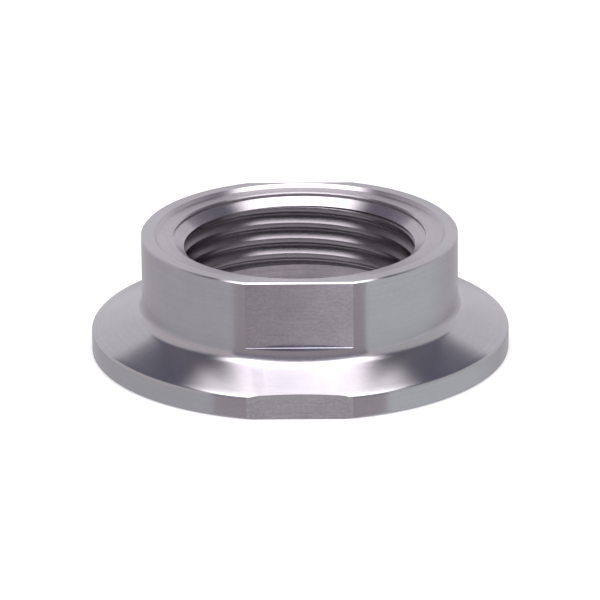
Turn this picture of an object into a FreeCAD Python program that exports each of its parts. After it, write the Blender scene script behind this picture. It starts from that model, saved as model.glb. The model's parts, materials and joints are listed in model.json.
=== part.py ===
import FreeCAD, Part
import math
import os
import Sketcher

# Sanitary clamp adapter with an internal thread, turned and milled from one bar.
# Millimetres. The origin is the centre of the gasket face, +Z runs up the bore
# and the milled flats face -Y and +Y.

document = FreeCAD.newDocument("clamp_adapter")

# Driving sizes: alias, value, what it is
SIZES = [
    ("flangeDia", 50.5, "clamp flange, outer diameter"),
    ("rimHeight", 2.85, "height of the flange edge, before its corners are rounded"),
    ("clampAngle", 20.0, "slope of the clamping cone above the gasket face, degrees"),
    ("rimEdgeRadius", 0.5, "rounding between flange edge and clamping cone"),
    ("rimFootRadius", 0.3, "rounding between flange edge and gasket face"),
    ("rimFlatDepth", 0.8, "depth of each flat milled on the flange edge"),
    ("grooveInset", 3.5, "flange edge to the middle of the gasket groove"),
    ("grooveRadius", 1.6, "half-round section of the gasket groove"),
    ("wrenchSize", 36.0, "distance across the two hub flats"),
    ("hubFlatDepth", 1.1, "depth of each hub flat below the round hub"),
    ("totalHeight", 14.7, "gasket face to the hub's top face"),
    ("ledgeHeight", 6.5, "gasket face to the ledges where the hub flats end"),
    ("flatFootRadius", 0.15, "round left by the cutter between a hub flat and its ledge"),
    ("rootRadius", 1.5, "fillet between hub and clamping cone"),
    ("hubEdgeBreak", 0.2, "chamfer round the hub's top edge"),
    ("landWidth", 0.3, "top land left between a hub flat and the recess"),
    ("recessSlope", 0.5, "width of the sloping side of the top recess"),
    ("recessDepth", 0.4, "depth of the top recess"),
    ("threadDia", 30.0, "nominal diameter of the internal thread"),
    ("threadDepth", 1.05, "radial depth of the thread, which leaves the core bore"),
    ("mouthGap", 0.05, "radial room between thread and mouth"),
    ("mouthBreakWidth", 0.45, "width of the edge break round the mouth"),
    ("mouthBreakDepth", 0.15, "depth of the edge break round the mouth"),
    ("countersinkAngle", 90.0, "included angle of the countersink, degrees"),
    ("reliefGap", 0.3, "radial room between thread and relief"),
    ("reliefWidth", 3.4, "height of the thread relief"),
    ("seatAngle", 120.0, "included angle of the seat under the relief, degrees"),
    ("throughDia", 26.0, "through-bore under the seat"),
    ("lipThickness", 1.5, "height of the through-bore's wall"),
    ("boreEdgeBreak", 0.2, "edge break where the through-bore leaves the gasket face"),
]

sheet = document.addObject("Spreadsheet::Sheet", "sizes")
for row, (alias, value, meaning) in enumerate(SIZES, start=1):
    sheet.set(f"A{row}", meaning)
    sheet.set(f"B{row}", str(value))
    sheet.setAlias(f"B{row}", alias)
document.recompute()

# Sizes that follow from the driving ones, as expressions on the sheet
FLANGE_R = "sizes.flangeDia / 2"
HUB_R = "(sizes.wrenchSize / 2 + sizes.hubFlatDepth)"
CONE_TOP = f"sizes.rimHeight + ({FLANGE_R} - {HUB_R}) * tan(sizes.clampAngle * 1deg)"
RECESS_R = "sizes.wrenchSize / 2 - sizes.landWidth"
RECESS_FLOOR = "sizes.totalHeight - sizes.recessDepth"
CORE_R = "(sizes.threadDia / 2 - sizes.threadDepth)"
MOUTH_R = "(sizes.threadDia / 2 + sizes.mouthGap)"
SINK_TOP = f"{RECESS_FLOOR} - sizes.mouthBreakDepth"
SINK_FOOT = f"{SINK_TOP} - ({MOUTH_R} - {CORE_R}) / tan(sizes.countersinkAngle * 0.5deg)"
RELIEF_R = "(sizes.threadDia / 2 + sizes.reliefGap)"
SEAT_RISE = f"({RELIEF_R} - sizes.throughDia / 2) / tan(sizes.seatAngle * 0.5deg)"
RELIEF_FLOOR = f"sizes.lipThickness + {SEAT_RISE}"
RELIEF_TOP = f"{RELIEF_FLOOR} + sizes.reliefWidth"


def new_sketch(body, name, plane_role):
    """An empty sketch on one of the body's own origin planes."""
    sketch = body.newObject("Sketcher::SketchObject", name)
    plane = next(f for f in body.Origin.OriginFeatures if f.Role == plane_role)
    sketch.AttachmentSupport = [(plane, "")]
    sketch.MapMode = "FlatFace"
    return sketch


def origin_axis(body, role):
    return next(f for f in body.Origin.OriginFeatures if f.Role == role)


def bind_point(sketch, part, end, across, up):
    """Hold one point of a sketch at two expressions, measured from the origin."""
    for kind, size in (("DistanceX", across), ("DistanceY", up)):
        number = sketch.addConstraint(Sketcher.Constraint(kind, -1, 1, part, end, 1.0))
        sketch.setExpression(f"Constraints[{number}]", size)


def add_outline(sketch, corners):
    """A closed outline of straight sides, each corner bound to its own two sizes.

    The corners start out on a loose ring, and the bound sizes put each one in place.
    """
    count = len(corners)
    ring_middle, ring_radius = FreeCAD.Vector(20, 0, 0), 9
    ring = []
    for n in range(count):
        turn = 2 * math.pi * n / count
        spoke = FreeCAD.Vector(ring_radius * math.cos(turn), ring_radius * math.sin(turn), 0)
        ring.append(ring_middle + spoke)
    first = sketch.GeometryCount
    for n in range(count):
        sketch.addGeometry(Part.LineSegment(ring[n], ring[(n + 1) % count]), False)
    for n in range(count):
        following = first + (n + 1) % count
        sketch.addConstraint(Sketcher.Constraint("Coincident", first + n, 2, following, 1))
    for n, (across, up) in enumerate(corners):
        bind_point(sketch, first + n, 1, across, up)


def solid_of(feature):
    """The feature's shape after a recompute, which must be one sound solid."""
    document.recompute()
    shape = feature.Shape
    if "Invalid" in feature.State or "Error" in feature.State:
        raise RuntimeError(f"{feature.Name} failed: {feature.State}")
    if shape.isNull() or not shape.isValid() or len(shape.Solids) != 1:
        raise RuntimeError(f"{feature.Name} is not one valid solid")
    return shape


def cut_of(feature, before):
    """Check that a cut took material away, and give the shape that is left."""
    shape = solid_of(feature)
    if shape.Volume > before.Volume - 0.01:
        raise RuntimeError(f"{feature.Name} removed nothing")
    return shape


def value_of(alias):
    return float(sheet.getPropertyByName(alias))


def round_edges(shape, radius, height):
    """Names of the full circles of this radius at this height above the gasket face."""
    names = []
    for number, edge in enumerate(shape.Edges, start=1):
        curve = edge.Curve
        if isinstance(curve, Part.Circle) and abs(curve.Radius - radius) < 0.001:
            if abs(curve.Center.z - height) < 0.001:
                names.append(f"Edge{number}")
    return names


def dress_edges(body, kind, name, base, edges, size_name, alias):
    """A fillet or chamfer on the named edges of a feature, sized from the sheet."""
    if not edges:
        raise RuntimeError(f"{name} found no edge")
    feature = body.newObject(kind, name)
    feature.Base = (base, edges)
    feature.setExpression(size_name, f"sizes.{alias}")
    body.Tip = feature
    return feature


body = document.addObject("PartDesign::Body", "adapter_body")
body.Label = "adapter_body"

# The turned form: half of the section, revolved about the bore's axis
section = new_sketch(body, "turned_section", "XZ_Plane")
add_outline(section, [
    ("sizes.throughDia / 2 + sizes.boreEdgeBreak", "0"),
    (FLANGE_R, "0"),
    (FLANGE_R, "sizes.rimHeight"),
    (HUB_R, CONE_TOP),
    (HUB_R, "sizes.totalHeight"),
    (RECESS_R, "sizes.totalHeight"),
    (f"{RECESS_R} - sizes.recessSlope", RECESS_FLOOR),
    (f"{MOUTH_R} + sizes.mouthBreakWidth", RECESS_FLOOR),
    (MOUTH_R, SINK_TOP),
    (CORE_R, SINK_FOOT),
    (CORE_R, RELIEF_TOP),
    (RELIEF_R, f"{RELIEF_TOP} - ({RELIEF_R} - {CORE_R})"),
    (RELIEF_R, RELIEF_FLOOR),
    ("sizes.throughDia / 2", "sizes.lipThickness"),
    ("sizes.throughDia / 2", "sizes.boreEdgeBreak"),
])
document.recompute()

turned = body.newObject("PartDesign::Revolution", "turned_form")
turned.Profile = section
turned.ReferenceAxis = (origin_axis(body, "Z_Axis"), [""])
turned.Angle = 360
body.Tip = turned
shape = solid_of(turned)

# Hub root, flange edge and foot, rounded while the piece is still fully round
hub_r = value_of("wrenchSize") / 2 + value_of("hubFlatDepth")
flange_r = value_of("flangeDia") / 2
cone_rise = (flange_r - hub_r) * math.tan(math.radians(value_of("clampAngle")))
cone_top = value_of("rimHeight") + cone_rise

root = dress_edges(
    body, "PartDesign::Fillet", "root_fillet", turned,
    round_edges(shape, hub_r, cone_top), "Radius", "rootRadius",
)
shape = solid_of(root)

rim_edge = dress_edges(
    body, "PartDesign::Fillet", "rim_edge_round", root,
    round_edges(shape, flange_r, value_of("rimHeight")), "Radius", "rimEdgeRadius",
)
shape = solid_of(rim_edge)

rim_foot = dress_edges(
    body, "PartDesign::Fillet", "rim_foot_round", rim_edge,
    round_edges(shape, flange_r, 0.0), "Radius", "rimFootRadius",
)
shape = solid_of(rim_foot)

# Gasket groove: a half-round ring cut into the gasket face
groove_sketch = new_sketch(body, "groove_section", "XZ_Plane")
groove_sketch.addGeometry(
    Part.Circle(FreeCAD.Vector(20, 0, 0), FreeCAD.Vector(0, 0, 1), 1.0), False
)
groove_sketch.addConstraint(Sketcher.Constraint("PointOnObject", 0, 3, -1))
centre = groove_sketch.addConstraint(Sketcher.Constraint("DistanceX", -1, 1, 0, 3, 20.0))
groove_sketch.setExpression(f"Constraints[{centre}]", f"{FLANGE_R} - sizes.grooveInset")
size = groove_sketch.addConstraint(Sketcher.Constraint("Radius", 0, 1.0))
groove_sketch.setExpression(f"Constraints[{size}]", "sizes.grooveRadius")
document.recompute()

groove = body.newObject("PartDesign::Groove", "gasket_groove")
groove.Profile = groove_sketch
groove.ReferenceAxis = (origin_axis(body, "Z_Axis"), [""])
groove.Angle = 360
body.Tip = groove
shape = cut_of(groove, shape)


def mill_flats(name, half_across, from_height, before):
    """Two parallel flats facing -Y and +Y, milled from a height up past the top."""
    sketch = new_sketch(body, f"{name}_section", "XY_Plane")
    sketch.setExpression("AttachmentOffset.Base.z", from_height)
    reach = "sizes.flangeDia"
    for side in ("", "-"):
        near, far = f"{side}({half_across})", f"{side}({reach})"
        add_outline(sketch, [
            (f"-{reach}", near), (reach, near), (reach, far), (f"-{reach}", far),
        ])
    document.recompute()
    pocket = body.newObject("PartDesign::Pocket", name)
    pocket.Profile = sketch
    pocket.Type = "ThroughAll"
    pocket.Reversed = True
    body.Tip = pocket
    return pocket, cut_of(pocket, before)


hub_flats, shape = mill_flats("hub_flats", "sizes.wrenchSize / 2", "sizes.ledgeHeight", shape)
rim_flats, shape = mill_flats("rim_flats", f"{FLANGE_R} - sizes.rimFlatDepth", "0", shape)

# The cutter leaves a small round where each hub flat meets its ledge
half_wrench = value_of("wrenchSize") / 2
ledge_height = value_of("ledgeHeight")
foot_edges = []
for number, edge in enumerate(shape.Edges, start=1):
    box = edge.BoundBox
    on_ledge = abs(box.ZMin - ledge_height) < 0.001 and abs(box.ZMax - ledge_height) < 0.001
    on_flat = abs(abs(box.YMin) - half_wrench) < 0.001 and abs(box.YMax - box.YMin) < 0.001
    if on_ledge and on_flat:
        foot_edges.append(f"Edge{number}")
flat_foot = dress_edges(
    body, "PartDesign::Fillet", "flat_foot_round", rim_flats, foot_edges, "Radius", "flatFootRadius",
)
shape = solid_of(flat_foot)

# Edge break round the hub's top, along both the round sides and the flats
total_height = value_of("totalHeight")
top_edges = []
for number, edge in enumerate(shape.Edges, start=1):
    box = edge.BoundBox
    at_top = box.ZMin > total_height - 0.001
    middle = edge.valueAt((edge.FirstParameter + edge.LastParameter) / 2)
    outside = math.hypot(middle.x, middle.y) > half_wrench - 0.001
    if at_top and outside:
        top_edges.append(f"Edge{number}")
edge_break = dress_edges(
    body, "PartDesign::Chamfer", "hub_edge_break", flat_foot, top_edges, "Size", "hubEdgeBreak",
)
shape = cut_of(edge_break, shape)

# Nothing is written unless every object and the finished solid are sound
document.recompute()
for item in document.Objects:
    if "Invalid" in item.State or "Error" in item.State:
        raise RuntimeError(f"{item.Name} failed: {item.State}")
finished = solid_of(body)

os.makedirs("parts", exist_ok=True)
finished.exportStep(f"parts/{body.Label}.step")
print(f"adapter_body: {finished.Volume:.1f} mm3, {len(finished.Faces)} faces")
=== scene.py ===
import bpy
import bmesh
import json
import math
import numpy as np
from mathutils import Matrix, Vector


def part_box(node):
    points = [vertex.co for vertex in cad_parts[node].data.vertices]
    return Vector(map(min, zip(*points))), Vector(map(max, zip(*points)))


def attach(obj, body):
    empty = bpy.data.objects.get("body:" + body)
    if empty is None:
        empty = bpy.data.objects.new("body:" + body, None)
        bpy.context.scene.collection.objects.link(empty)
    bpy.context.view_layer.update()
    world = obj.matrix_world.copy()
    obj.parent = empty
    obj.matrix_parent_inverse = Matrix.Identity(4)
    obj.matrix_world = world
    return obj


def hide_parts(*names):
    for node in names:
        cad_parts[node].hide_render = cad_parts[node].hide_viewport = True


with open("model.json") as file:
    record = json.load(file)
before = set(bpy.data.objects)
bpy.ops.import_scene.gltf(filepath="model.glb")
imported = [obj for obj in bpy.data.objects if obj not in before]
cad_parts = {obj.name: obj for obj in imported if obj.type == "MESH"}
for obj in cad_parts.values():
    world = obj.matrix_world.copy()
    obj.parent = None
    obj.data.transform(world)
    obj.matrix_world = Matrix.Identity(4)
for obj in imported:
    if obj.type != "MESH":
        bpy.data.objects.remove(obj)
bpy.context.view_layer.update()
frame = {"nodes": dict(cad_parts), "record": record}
mm = 0.001
print("frame loaded:", sorted(frame["nodes"]))

# The camera: a long lens, looking a little down on the part
view = {
    "focalPixels": 5908.56,   # focal length, in pixels of the 600 pixel picture
    "imageSide": 600,
    "sensor": 36.0,
    "elevation": 20.361,      # degrees above the floor
    "roll": -0.5375,
    "turn": 0.3753,           # degrees that the camera stands off the flats' own direction
    "right": 0.0577,          # the part's origin along the camera's own axes, mm
    "down": 5.5044,
    "away": 717.06,
    "clipStart": 0.05,        # m
    "clipEnd": 20,
}


def makeCamera():
    tilt, roll = math.radians(view["elevation"]), math.radians(view["roll"])
    right = Vector((1, 0, 0))
    down = Vector((0, -math.sin(tilt), -math.cos(tilt)))
    forward = Vector((0, math.cos(tilt), -math.sin(tilt)))
    rolledRight = right * math.cos(roll) - down * math.sin(roll)
    rolledDown = right * math.sin(roll) + down * math.cos(roll)
    place = -(rolledRight * view["right"] + rolledDown * view["down"] + forward * view["away"]) * mm
    axes = Matrix((rolledRight, -rolledDown, -forward)).transposed()
    data = bpy.data.cameras.new("camera")
    data.sensor_width = view["sensor"]
    data.lens = view["focalPixels"] * view["sensor"] / view["imageSide"]
    data.clip_start = view["clipStart"]
    data.clip_end = view["clipEnd"]
    camera = bpy.data.objects.new("camera", data)
    bpy.context.scene.collection.objects.link(camera)
    turn = Matrix.Rotation(math.radians(view["turn"]), 4, "Z")
    camera.matrix_world = turn @ Matrix.Translation(place) @ axes.to_4x4()
    bpy.context.scene.camera = camera


makeCamera()
bpy.context.scene.view_settings.view_transform = "Standard"
print("camera placed")

# The section, mm: R is out from the bore's axis, Z up from the gasket face.
# The frame gives the outer size, the height, the flats, the thread's core and the through-bore.
low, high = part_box("adapter_body")
mounts = {m["name"]: m for m in frame["record"]["mounts"]}
section = {
    "flangeR": (high.x - low.x) / 2 / mm,
    "topZ": high.z / mm,
    "flatY": mounts["wrench_flat_rear"]["pos_m"][1] / mm,
    "coreR": mounts["thread"]["dims"]["r_mm"],
    "throughR": mounts["through_bore"]["dims"]["r_mm"],
    "rimFlatY": high.y / mm,
    "rimHeight": 2.85,
    "clampAngle": 20.0,
    "rimEdgeRadius": 0.5,
    "rimFootRadius": 0.3,
    "hubR": 19.1,
    "ledgeZ": 6.5,
    "flatFootRadius": 0.07,
    "rootRadius": 1.5,
    "edgeBreak": 0.16,
    "landR": 17.58,           # inner edge of the top land, where the recess slopes down
    "recessR": 17.2,
    "recessDepth": 0.4,
    "mouthR": 15.25,
    "mouthBreakWidth": 0.25,
    "mouthBreakDepth": 0.1,
    "mouthStep": 0.35,        # short upright wall above the countersink
    "sinkFoot": 13.05,
    "reliefR": 15.3,
    "reliefTop": 6.228,
    "reliefFloor": 2.828,
    "lip": 1.5,
    "boreBreak": 0.2,
    "grooveR": 21.75,         # gasket groove
    "grooveRadius": 1.6,
}
thread = {
    "pitch": 2.0,
    "crestAtX": 12.37,        # upper edge of one crest on the +X side; the others follow by the pitch
    "crestFlat": 0.54,
    "rootR": 15.0,
    "upperFlank": 0.606,      # height of the flank that faces up: 60 degrees between the flanks
    "rootFlat": 0.25,
    "rootRound": 0.1,
    "crestRound": 0.04,
}
# How finely the skin is divided
skin = {
    "columnsRound": 288,      # upright rows of points round the part
    "rootSteps": 14,
    "edgeSteps": 8,
    "footSteps": 6,
    "coneSteps": 8,
    "gasketGrooveSteps": 16,
    "flatFootSteps": 5,
    "flatFootColumns": (0.3, 1.57, 5),   # first and last angle on the flat's foot round, and how many
    "sharpAngle": 18,         # edges that turn more than this stay crisp, degrees
    "weldReach": 2e-7,        # m
    "leastEdge": 1e-8,
    "normalWeight": 80,
}
small = 1e-6

# Which finish a strip of faces has, in the order of the list of finishes
hub, ring, bore, relief, hubFlat, rim, rimFlat, gasket = range(8)


def arcPoints(centreR, centreZ, radius, start, end, steps):
    angles = [math.radians(a) for a in np.linspace(start, end, steps + 1)]
    return [(centreR + radius * math.cos(a), centreZ + radius * math.sin(a)) for a in angles]


# Root fillet, flange edge round and foot round, as lines of points
def rimLines():
    s = section
    slope = 90 - s["clampAngle"]
    hubEnd = s["rimHeight"] + (s["flangeR"] - s["hubR"]) * math.tan(math.radians(s["clampAngle"]))
    # The root fillet and the edge round both meet the cone where their own tangents end
    edgeReach = s["rimEdgeRadius"] * math.tan(math.radians(slope / 2))
    rootReach = s["rootRadius"] * math.tan(math.radians(slope / 2))
    rootR, rootZ = s["hubR"] + s["rootRadius"], hubEnd + rootReach
    root = arcPoints(rootR, rootZ, s["rootRadius"], 180, 180 + slope, skin["rootSteps"])
    edgeR, edgeZ = s["flangeR"] - s["rimEdgeRadius"], s["rimHeight"] - edgeReach
    edge = arcPoints(edgeR, edgeZ, s["rimEdgeRadius"], slope, 0, skin["edgeSteps"])
    footR = s["flangeR"] - s["rimFootRadius"]
    foot = arcPoints(footR, s["rimFootRadius"], s["rimFootRadius"], 0, -90, skin["footSteps"])
    return root, edge, foot


# Upright rows stand evenly, with more where a flat cuts a round edge
def columnAngles(edge, foot):
    s = section
    angles = set(np.round(np.linspace(0, 2 * math.pi, skin["columnsRound"] + 1), 9))
    cornerY = s["flatY"] - s["edgeBreak"]
    corners = [s["flatY"] / s["hubR"], cornerY / (s["hubR"] - s["edgeBreak"])]
    footOut = s["flatFootRadius"] * (1 - np.cos(np.linspace(*skin["flatFootColumns"])))
    corners += list((s["flatY"] + footOut) / s["hubR"])
    corners += [s["rimFlatY"] / r for r, z in edge + foot if r > s["rimFlatY"]]
    for share in corners:
        a = math.asin(min(share, 1.0))
        angles.update(np.round([a, math.pi - a, math.pi + a, 2 * math.pi - a], 9))
    return np.array(sorted(angles))


# One groove of the thread: heights above the upper edge of the crest below it, and radii
def threadGroove():
    s, t = section, thread
    rootEnd = t["upperFlank"] + t["rootFlat"]
    grooveEnd = t["pitch"] - t["crestFlat"]
    corners = [
        (-1.0, s["coreR"]),
        (0.0, s["coreR"]),
        (t["upperFlank"], t["rootR"]),
        (rootEnd, t["rootR"]),
        (grooveEnd, s["coreR"]),
        (grooveEnd + 1.0, s["coreR"]),
    ]
    rounds = [t["crestRound"], t["rootRound"], t["rootRound"], t["crestRound"]]
    line = []
    for before, corner, after, reach in zip(corners, corners[1:], corners[2:], rounds):
        here = np.array(corner)
        inward, outward = np.array(before) - here, np.array(after) - here
        # A rounded corner leaves at least a tenth of each side straight
        reach = min(reach, 0.45 * np.hypot(*inward), 0.45 * np.hypot(*outward))
        start = here + inward / np.hypot(*inward) * reach
        end = here + outward / np.hypot(*outward) * reach
        middle = here * 0.5 + (start + end) * 0.25
        line += [tuple(start), tuple(middle), tuple(end)]
    return np.array(line)


# Height where a groove comes out of the plain wall, next to the knot i
def crossing(knots, deeper, i, step):
    j = i + step
    if j < 0 or j >= len(knots):
        return knots[i]
    share = deeper[i] / (deeper[i] - deeper[j])
    return knots[i] + (knots[j] - knots[i]) * share


# Bore wall at one column, from the relief up to the countersink: the plain bore, cut deeper by each groove.
# turn is the column's share of a full turn, by which the right-hand thread has climbed.
def boreColumn(turn, plain, groove):
    t = thread
    plainZ, plainR = plain[:, 0], plain[:, 1]
    start, end = plainZ[0], plainZ[-1]
    points, last = [(start, plainR[0])], start
    lowest = math.floor((start - t["crestAtX"]) / t["pitch"]) - 2
    highest = math.ceil((end - t["crestAtX"]) / t["pitch"]) + 1
    for k in range(lowest, highest + 1):
        crest = t["crestAtX"] + t["pitch"] * (k + turn)
        grooveZ, grooveR = groove[:, 0] + crest, groove[:, 1]
        knots = np.unique(np.concatenate([grooveZ, plainZ]))
        knots = knots[(knots >= max(grooveZ[0], start)) & (knots <= min(grooveZ[-1], end))]
        deeper = np.interp(knots, grooveZ, grooveR) - np.interp(knots, plainZ, plainR)
        cut = np.nonzero(deeper > 1e-9)[0]
        if len(cut):
            enter, leave = crossing(knots, deeper, cut[0], -1), crossing(knots, deeper, cut[-1], 1)
        else:
            enter = leave = min(max(crest, start), end)
        for corner in plainZ[1:-1]:
            z = min(max(corner, last), enter)
            points.append((z, np.interp(z, plainZ, plainR)))
        for z in np.clip(grooveZ, enter, leave):
            r = np.interp(z, grooveZ, grooveR) if len(cut) else np.interp(z, plainZ, plainR)
            points.append((z, r))
        last = leave
    for corner in plainZ[1:-1]:
        z = max(corner, last)
        points.append((z, np.interp(z, plainZ, plainR)))
    return points


# Countersink, mouth, recess and top land, down to the hub's upper edge
def mouthPoints(side, hubClip, hubFinish):
    s = section
    recessZ = s["topZ"] - s["recessDepth"]
    mouthTop = recessZ - s["mouthBreakDepth"]
    landEnd = min(s["hubR"] - s["edgeBreak"], (s["flatY"] - s["edgeBreak"]) / side)
    return [
        (s["coreR"], s["sinkFoot"], ring),
        (s["mouthR"], mouthTop - s["mouthStep"], ring),
        (s["mouthR"], mouthTop, ring),
        (s["mouthR"] + s["mouthBreakWidth"], recessZ, ring),
        (s["recessR"], recessZ, ring),
        (s["landR"], s["topZ"], hub),
        (landEnd, s["topZ"], hub),
        (hubClip, s["topZ"] - s["edgeBreak"], hubFinish),
    ]


# The foot of the hub: on a flat, the cutter's small round and the ledge
def flatFootPoints(hubClip, hubFinish):
    s = section
    reach = s["flatFootRadius"]
    furthest = math.acos(max(0.0, 1 - (s["hubR"] - hubClip) / reach))
    points = []
    for a in np.linspace(0, math.pi / 2, skin["flatFootSteps"] + 1):
        a = min(a, furthest)
        out, up = reach * (1 - math.cos(a)), reach * (1 - math.sin(a))
        points.append((hubClip + out, s["ledgeZ"] + up, hubFinish))
    return points + [(s["hubR"], s["ledgeZ"], hub)]


# Root fillet, clamping cone, edge and foot of the flange, cut off where the flange has its flat
def flangePoints(root, edge, foot, rimClip):
    s = section
    onRimFlat = rimClip < s["flangeR"] - small
    upper, lower = np.array(edge), np.array(foot)
    points = [(r, z, hub) for r, z in root]
    startR, startZ = root[-1]
    endR = min(edge[0][0], rimClip)
    endZ = startZ - (endR - startR) * math.tan(math.radians(s["clampAngle"]))
    for share in np.linspace(0, 1, skin["coneSteps"] + 1)[1:-1]:
        points.append((startR + (endR - startR) * share, startZ + (endZ - startZ) * share, hub))
    cutTop = endZ if rimClip <= edge[0][0] else np.interp(rimClip, upper[:, 0], upper[:, 1])
    for r, z in edge:
        points.append((r, z, rim) if r < rimClip else (rimClip, cutTop, rimFlat if onRimFlat else rim))
    cutFoot = 0.0 if rimClip <= foot[-1][0] else np.interp(rimClip, lower[::-1, 0], lower[::-1, 1])
    for r, z in foot:
        if r < rimClip - 1e-9:
            points.append((r, z, gasket))
        else:
            points.append((rimClip, cutFoot if onRimFlat else max(cutFoot, z), gasket))
    return points


# Gasket face with its half-round groove, and the through-bore up to the relief
def undersidePoints():
    s = section
    groove = arcPoints(s["grooveR"], 0, s["grooveRadius"], 0, 180, skin["gasketGrooveSteps"])
    return [(r, z, gasket) for r, z in groove] + [
        (s["throughR"] + s["boreBreak"], 0, bore),
        (s["throughR"], s["boreBreak"], bore),
        (s["throughR"], s["lip"], bore),
        (s["reliefR"], s["reliefFloor"], relief),
    ]


# Every column has the same points in the same order, so the columns join into one skin
def bodyColumns():
    s = section
    root, edge, foot = rimLines()
    angles = columnAngles(edge, foot)
    groove = threadGroove()
    plainBore = np.array([
        (s["reliefTop"] - (s["reliefR"] - s["coreR"]), s["reliefR"]),
        (s["reliefTop"], s["coreR"]),
        (s["sinkFoot"], s["coreR"]),
    ])
    columns = []
    for angle in angles:
        side = max(abs(math.sin(angle)), small)
        hubClip = min(s["hubR"], s["flatY"] / side)
        rimClip = min(s["flangeR"], s["rimFlatY"] / side)
        hubFinish = hubFlat if hubClip < s["hubR"] - small else hub
        column = [(r, z, bore) for z, r in boreColumn(angle / (2 * math.pi), plainBore, groove)]
        column += mouthPoints(side, hubClip, hubFinish)
        column += flatFootPoints(hubClip, hubFinish)
        column += flangePoints(root, edge, foot, rimClip)
        column += undersidePoints()
        columns.append(column)
    return angles, columns


def makeBody():
    angles, columns = bodyColumns()
    mesh = bpy.data.meshes.new("adapterBody")
    maker = bmesh.new()
    grid = []
    for angle, column in zip(angles, columns):
        across, along = math.cos(angle) * mm, math.sin(angle) * mm
        grid.append([maker.verts.new((r * across, r * along, z * mm)) for r, z, finish in column])
    rows = len(columns[0])
    for j in range(len(angles) - 1):
        for i in range(rows):
            n = (i + 1) % rows
            face = maker.faces.new((grid[j][i], grid[j][n], grid[j + 1][n], grid[j + 1][i]))
            face.material_index = columns[j][i][2]
            face.smooth = True
    # The first and last column meet here, and points that fell together become one
    bmesh.ops.remove_doubles(maker, verts=maker.verts, dist=skin["weldReach"])
    bmesh.ops.dissolve_degenerate(maker, edges=maker.edges, dist=skin["leastEdge"])
    bmesh.ops.recalc_face_normals(maker, faces=maker.faces)
    for e in maker.edges:
        if len(e.link_faces) == 2 and e.calc_face_angle(0) > math.radians(skin["sharpAngle"]):
            e.smooth = False
    print("open edges:", sum(1 for e in maker.edges if len(e.link_faces) != 2))
    maker.to_mesh(mesh)
    maker.free()
    body = bpy.data.objects.new("adapterBody", mesh)
    bpy.context.scene.collection.objects.link(body)
    even = body.modifiers.new("even", "WEIGHTED_NORMAL")
    even.keep_sharp = True
    even.weight = skin["normalWeight"]
    return body


body = makeBody()
print("body made:", len(body.data.polygons), "faces")

# What the cutter left on the surface. Depths are in mm, scales per metre.
# "drawn" is how strongly the turning marks stretch a reflection, "mottle" how much the colour varies.
turnedMarks = {"roughness": 0.178, "drawn": 1.0, "ringDepth": 0.001, "grainDepth": 0.0004, "mottle": 0.1}
facedMarks = {"roughness": 0.23, "drawn": 1.0, "ringDepth": 0.001, "grainDepth": 0.0004, "mottle": 0.16}
reliefMarks = {"roughness": 0.23, "drawn": 1.0, "ringDepth": 0.001, "grainDepth": 0.0004, "mottle": 0.6}
boredMarks = {"roughness": 0.25, "drawn": 1.0, "ringDepth": 0.0003, "grainDepth": 0.0, "mottle": 0.1}
milledMarks = {"roughness": 0.22, "drawn": 0.0, "ringDepth": 0.0, "grainDepth": 0.001, "mottle": 0.3}
finishes = [
    {"name": "hubSteel", "tint": (0.50, 0.48, 0.50), **turnedMarks},
    {"name": "ringSteel", "tint": (0.50, 0.465, 0.495), **facedMarks},
    # The bore's steel is tinted darker than the rest: painted shade down the bore and along the thread
    {"name": "boreShadedSteel", "tint": (0.32, 0.295, 0.32), **boredMarks},
    {"name": "reliefSteel", "tint": (0.46, 0.415, 0.45), **reliefMarks},
    # The milled hub flat carries a painted sheen: its colour goes lighter and bluer towards +X, standing in
    # for a reflection
    {"name": "hubFlatSteel", "tint": (0.45, 0.43, 0.465), "rightSheenTint": (0.62, 0.62, 0.67), **milledMarks},
    {"name": "rimSteel", "tint": (0.50, 0.49, 0.505), **turnedMarks},
    {"name": "rimFlatSteel", "tint": (0.59, 0.61, 0.62), **milledMarks},
    {"name": "gasketSteel", "tint": (0.50, 0.48, 0.50), **turnedMarks},
]
marks = {
    "ringScale": 5200,        # turning marks
    "ringDetail": 3,
    "ringDrift": 0.0003,      # how slowly a turning mark changes round the part, m for each radian
    "grainScale": 3400,
    "grainDetail": 4,
    "cloudScale": 260,        # large soft patches
    "cloudDetail": 3,
    "mottleRange": (0.6, 2.4),     # of the three noises' sum
    "grainRange": (0.3, 0.7),
    "roughSpread": 0.05,      # share by which the grain changes the roughness
    "anisotropyTurn": 0.25,   # blurred across the turning marks
    "flatSheenBlend": 6.0,         # half width over which a flat's painted sheen goes over to its lighter right tint, mm
}


def mathNode(nodes, links, operation, a, b=None):
    node = nodes.new("ShaderNodeMath")
    node.operation = operation
    for socket, value in zip(node.inputs, (a, b)):
        if value is None:
            continue
        if isinstance(value, (int, float)):
            socket.default_value = value
        else:
            links.new(value, socket)
    return node.outputs[0]


def rangeNode(nodes, links, value, fromRange, toRange):
    node = nodes.new("ShaderNodeMapRange")
    links.new(value, node.inputs["Value"])
    for name, limits in (("From", fromRange), ("To", toRange)):
        node.inputs[name + " Min"].default_value = limits[0]
        node.inputs[name + " Max"].default_value = limits[1]
    return node.outputs["Result"]


# 0 below the start and 1 beyond the end, or the other way round when the start is the greater
def stepNode(nodes, links, value, start, end):
    toRange = (1.0, 0.0) if start > end else (0.0, 1.0)
    result = rangeNode(nodes, links, value, (min(start, end), max(start, end)), toRange)
    result.node.interpolation_type = "SMOOTHSTEP"
    return result


def blendNode(nodes, links, share, a, b):
    node = nodes.new("ShaderNodeMix")
    node.data_type = "RGBA"
    links.new(share, node.inputs["Factor"])
    for name, value in (("A", a), ("B", b)):
        if isinstance(value, tuple):
            node.inputs[name].default_value = (*value, 1)
        else:
            links.new(value, node.inputs[name])
    return node.outputs["Result"]


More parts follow.
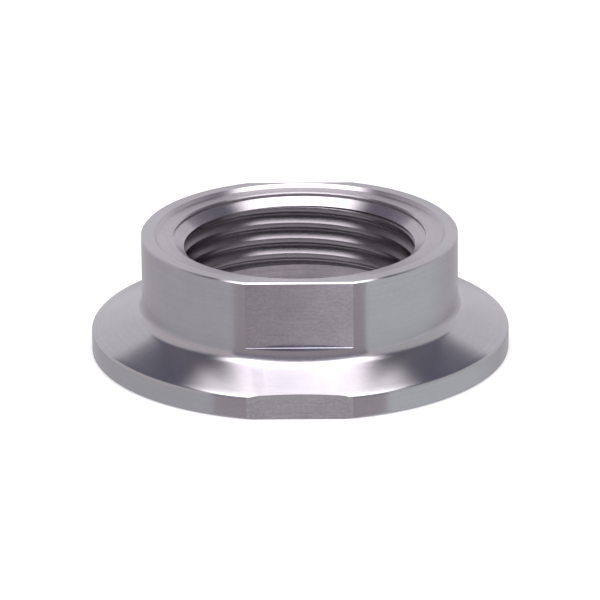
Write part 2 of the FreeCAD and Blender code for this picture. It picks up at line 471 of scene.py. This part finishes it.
def joinNode(nodes, links, x, y, z=None):
    node = nodes.new("ShaderNodeCombineXYZ")
    for name, value in (("X", x), ("Y", y), ("Z", z)):
        if value is not None:
            links.new(value, node.inputs[name])
    return node.outputs[0]


def lengthNode(nodes, links, vector):
    node = nodes.new("ShaderNodeVectorMath")
    node.operation = "LENGTH"
    links.new(vector, node.inputs[0])
    return node.outputs["Value"]


def noiseNode(nodes, links, vector, scale, detail):
    node = nodes.new("ShaderNodeTexNoise")
    node.inputs["Scale"].default_value = scale
    node.inputs["Detail"].default_value = detail
    links.new(vector, node.inputs["Vector"])
    return node.outputs["Fac"]


def bumpNode(nodes, links, height, depth):
    node = nodes.new("ShaderNodeBump")
    node.inputs["Strength"].default_value = 1.0
    node.inputs["Distance"].default_value = depth * mm
    links.new(height, node.inputs["Height"])
    return node


def steel(f):
    material = bpy.data.materials.new(f["name"])
    material.use_nodes = True
    nodes, links = material.node_tree.nodes, material.node_tree.links
    shader = nodes["Principled BSDF"]
    shader.inputs["Metallic"].default_value = 1.0
    if f["drawn"]:
        shader.inputs["Anisotropic"].default_value = f["drawn"]
        shader.inputs["Anisotropic Rotation"].default_value = marks["anisotropyTurn"]
        along = nodes.new("ShaderNodeTangent")
        along.direction_type = "RADIAL"
        along.axis = "Z"
        links.new(along.outputs[0], shader.inputs["Tangent"])
    place = nodes.new("ShaderNodeTexCoord").outputs["Object"]
    apart = nodes.new("ShaderNodeSeparateXYZ")
    links.new(place, apart.inputs[0])
    x, y, z = apart.outputs["X"], apart.outputs["Y"], apart.outputs["Z"]
    # The turning marks go by the distance from the axis and the height, and hardly change round the part
    out = lengthNode(nodes, links, joinNode(nodes, links, x, y))
    drift = mathNode(nodes, links, "MULTIPLY", mathNode(nodes, links, "ARCTAN2", y, x), marks["ringDrift"])
    turned = joinNode(nodes, links, out, z, drift)
    rings = noiseNode(nodes, links, turned, marks["ringScale"], marks["ringDetail"])
    grain = noiseNode(nodes, links, place, marks["grainScale"], marks["grainDetail"])
    cloud = noiseNode(nodes, links, place, marks["cloudScale"], marks["cloudDetail"])
    # Painted sheen: a milled flat's colour goes lighter towards its right side (+X), standing in for the
    # reflection that lights it more there
    reach = marks["flatSheenBlend"] * mm
    sheenShare = rangeNode(nodes, links, x, (-reach, reach), (0.0, 1.0))
    tint = blendNode(nodes, links, sheenShare, f["tint"], f.get("rightSheenTint", f["tint"]))
    spots = mathNode(nodes, links, "ADD", mathNode(nodes, links, "ADD", cloud, grain), rings)
    patchy = rangeNode(nodes, links, spots, marks["mottleRange"], (1 - f["mottle"], 1 + f["mottle"]))
    colour = nodes.new("ShaderNodeVectorMath")
    colour.operation = "SCALE"
    links.new(tint, colour.inputs[0])
    links.new(patchy, colour.inputs["Scale"])
    links.new(colour.outputs[0], shader.inputs["Base Color"])
    smoothest = f["roughness"] * (1 - marks["roughSpread"])
    roughest = f["roughness"] * (1 + marks["roughSpread"])
    rough = rangeNode(nodes, links, grain, marks["grainRange"], (smoothest, roughest))
    links.new(rough, shader.inputs["Roughness"])
    ringBump = bumpNode(nodes, links, rings, f["ringDepth"])
    grainBump = bumpNode(nodes, links, grain, f["grainDepth"])
    links.new(ringBump.outputs["Normal"], grainBump.inputs["Normal"])
    links.new(grainBump.outputs["Normal"], shader.inputs["Normal"])
    return material


for f in finishes:
    body.data.materials.append(steel(f))
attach(body, "root")
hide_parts("adapter_body")
print("finishes made")

# The studio: one big soft box overhead in a dark frame, pale walls, and darkness round the camera.
# The box and its frame lie on a ceiling; their sizes are shares of the ceiling's height.
# Angles are in degrees: 0 is towards the camera, positive to the right.
studio = {
    "boxSide": 0.51,          # half width of the box in the middle
    "boxNarrows": 0.25,       # how much the sides close in towards the rear
    "boxFront": -0.68,
    "boxRear": 0.67,
    "boxSoft": 0.09,
    "boxLight": (2.3, 2.25, 2.3),
    "stripSide": 0.61,        # the box's front half is the brighter one
    "stripNarrows": 0.25,
    "stripFront": -0.68,
    "stripRear": 0.0,
    "stripSoft": 0.2,
    "stripLight": (4.9, 4.78, 4.95),
    "frameSide": 1.0,
    "frameNarrows": 0.0,
    "frameFront": -0.95,
    "frameRear": 1.38,
    "frameSoft": 0.12,
    "frameLight": (0.155, 0.155, 0.205),
    "leftWall": (0.70, 0.66, 0.69),
    "rightWall": (0.67, 0.67, 0.69),
    "rearWall": (0.80, 0.79, 0.83),
    "leftBelow": (0.59, 0.59, 0.635),
    "rightBelow": (0.70, 0.735, 0.775),
    "rearBelow": (0.55, 0.54, 0.56),
    "frontWall": (0.28, 0.27, 0.34),
    "frontBelow": (0.49, 0.445, 0.47),
    "frontHalfWidth": 48.6,   # of the darkness to each side of the camera
    "frontSoft": 0.7,
    "sideSoft": 5,            # where the left side goes over into the right one
    "rearFrom": 100,          # where the side walls go over into the rear wall
    "rearTo": 150,
    "horizonSoft": 6,         # the walls end this softly at the horizon
    "leastRise": 0.02,        # keeps level directions off the ceiling
}
degrees = 180 / math.pi


def makeStudio():
    s = studio
    world = bpy.data.worlds.new("studio")
    world.use_nodes = True
    bpy.context.scene.world = world
    nodes, links = world.node_tree.nodes, world.node_tree.links
    nodes.clear()
    place = nodes.new("ShaderNodeTexCoord")
    apart = nodes.new("ShaderNodeSeparateXYZ")
    links.new(place.outputs["Generated"], apart.inputs[0])
    x, y, z = apart.outputs["X"], apart.outputs["Y"], apart.outputs["Z"]

    def calc(operation, a, b=None):
        return mathNode(nodes, links, operation, a, b)

    def step(value, start, end):
        return stepNode(nodes, links, value, start, end)

    def blend(share, a, b):
        return blendNode(nodes, links, share, a, b)

    # Where the direction meets the ceiling, for the box and its frame
    rise = calc("MAXIMUM", z, s["leastRise"])
    across = calc("ABSOLUTE", calc("DIVIDE", x, rise))
    along = calc("DIVIDE", y, rise)

    def oblong(name):
        side, narrows, soft = s[name + "Side"], s[name + "Narrows"], s[name + "Soft"]
        front, rear = s[name + "Front"], s[name + "Rear"]
        spread = calc("ADD", across, calc("MULTIPLY", along, narrows))
        inside = step(spread, side + soft, side - soft)
        inside = calc("MULTIPLY", inside, step(along, front - soft, front + soft))
        return calc("MULTIPLY", inside, step(along, rear + soft, rear - soft))

    around = calc("MULTIPLY", calc("ARCTAN2", x, calc("MULTIPLY", y, -1.0)), degrees)
    aside = calc("ABSOLUTE", around)
    rightHand = step(around, -s["sideSoft"], s["sideSoft"])
    behind = step(aside, s["rearFrom"], s["rearTo"])
    above = step(calc("MULTIPLY", calc("ARCSINE", z), degrees), -s["horizonSoft"], 0)
    wall = blend(behind, blend(rightHand, s["leftWall"], s["rightWall"]), s["rearWall"])
    under = blend(behind, blend(rightHand, s["leftBelow"], s["rightBelow"]), s["rearBelow"])
    room = blend(above, under, wall)
    front = step(aside, s["frontHalfWidth"] + s["frontSoft"], s["frontHalfWidth"] - s["frontSoft"])
    room = blend(front, room, blend(above, s["frontBelow"], s["frontWall"]))
    for name in ("frame", "box", "strip"):
        room = blend(oblong(name), room, s[name + "Light"])
    light = nodes.new("ShaderNodeBackground")
    links.new(room, light.inputs["Color"])
    # The camera sees a plain white background
    white = nodes.new("ShaderNodeBackground")
    white.inputs["Color"].default_value = (1, 1, 1, 1)
    ray = nodes.new("ShaderNodeLightPath")
    mix = nodes.new("ShaderNodeMixShader")
    seen = calc("MAXIMUM", ray.outputs["Is Camera Ray"], ray.outputs["Is Transmission Ray"])
    links.new(seen, mix.inputs["Fac"])
    links.new(light.outputs[0], mix.inputs[1])
    links.new(white.outputs[0], mix.inputs[2])
    end = nodes.new("ShaderNodeOutputWorld")
    links.new(mix.outputs[0], end.inputs["Surface"])


makeStudio()

# The pale floor. The steel mirrors it only down the bore, where the studio's light can't reach.
floorSize = {
    "side": 6.0,              # m
    "shade": (0.6, 0.6, 0.6),
    "glow": 0.35,
    "boreView": 0.0135,       # how far from the axis a reflection still sees the floor, m
    "gap": 0.00002,           # keeps the floor and the gasket face out of one plane, m
}


def makeFloor():
    bpy.ops.mesh.primitive_plane_add(size=floorSize["side"], location=(0, 0, -floorSize["gap"]))
    floor = bpy.context.object
    floor.name = "floor"
    material = bpy.data.materials.new("paleFloor")
    material.use_nodes = True
    nodes, links = material.node_tree.nodes, material.node_tree.links
    nodes.clear()
    matt = nodes.new("ShaderNodeBsdfDiffuse")
    matt.inputs["Color"].default_value = (*floorSize["shade"], 1)
    glow = nodes.new("ShaderNodeEmission")
    ray = nodes.new("ShaderNodeLightPath")
    strength = mathNode(nodes, links, "MULTIPLY", ray.outputs["Is Camera Ray"], floorSize["glow"])
    links.new(strength, glow.inputs["Strength"])
    add = nodes.new("ShaderNodeAddShader")
    links.new(matt.outputs[0], add.inputs[0])
    links.new(glow.outputs[0], add.inputs[1])
    place = nodes.new("ShaderNodeTexCoord")
    away = lengthNode(nodes, links, place.outputs["Object"])
    outside = mathNode(nodes, links, "GREATER_THAN", away, floorSize["boreView"])
    hidden = mathNode(nodes, links, "MULTIPLY", outside, ray.outputs["Is Glossy Ray"])
    # From below the floor is clear, so that the gasket face can be seen
    facing = nodes.new("ShaderNodeNewGeometry")
    hidden = mathNode(nodes, links, "MAXIMUM", hidden, facing.outputs["Backfacing"])
    clear = nodes.new("ShaderNodeBsdfTransparent")
    mix = nodes.new("ShaderNodeMixShader")
    links.new(hidden, mix.inputs["Fac"])
    links.new(add.outputs[0], mix.inputs[1])
    links.new(clear.outputs[0], mix.inputs[2])
    end = nodes.new("ShaderNodeOutputMaterial")
    links.new(mix.outputs[0], end.inputs["Surface"])
    floor.data.materials.append(material)


makeFloor()
print("studio made")
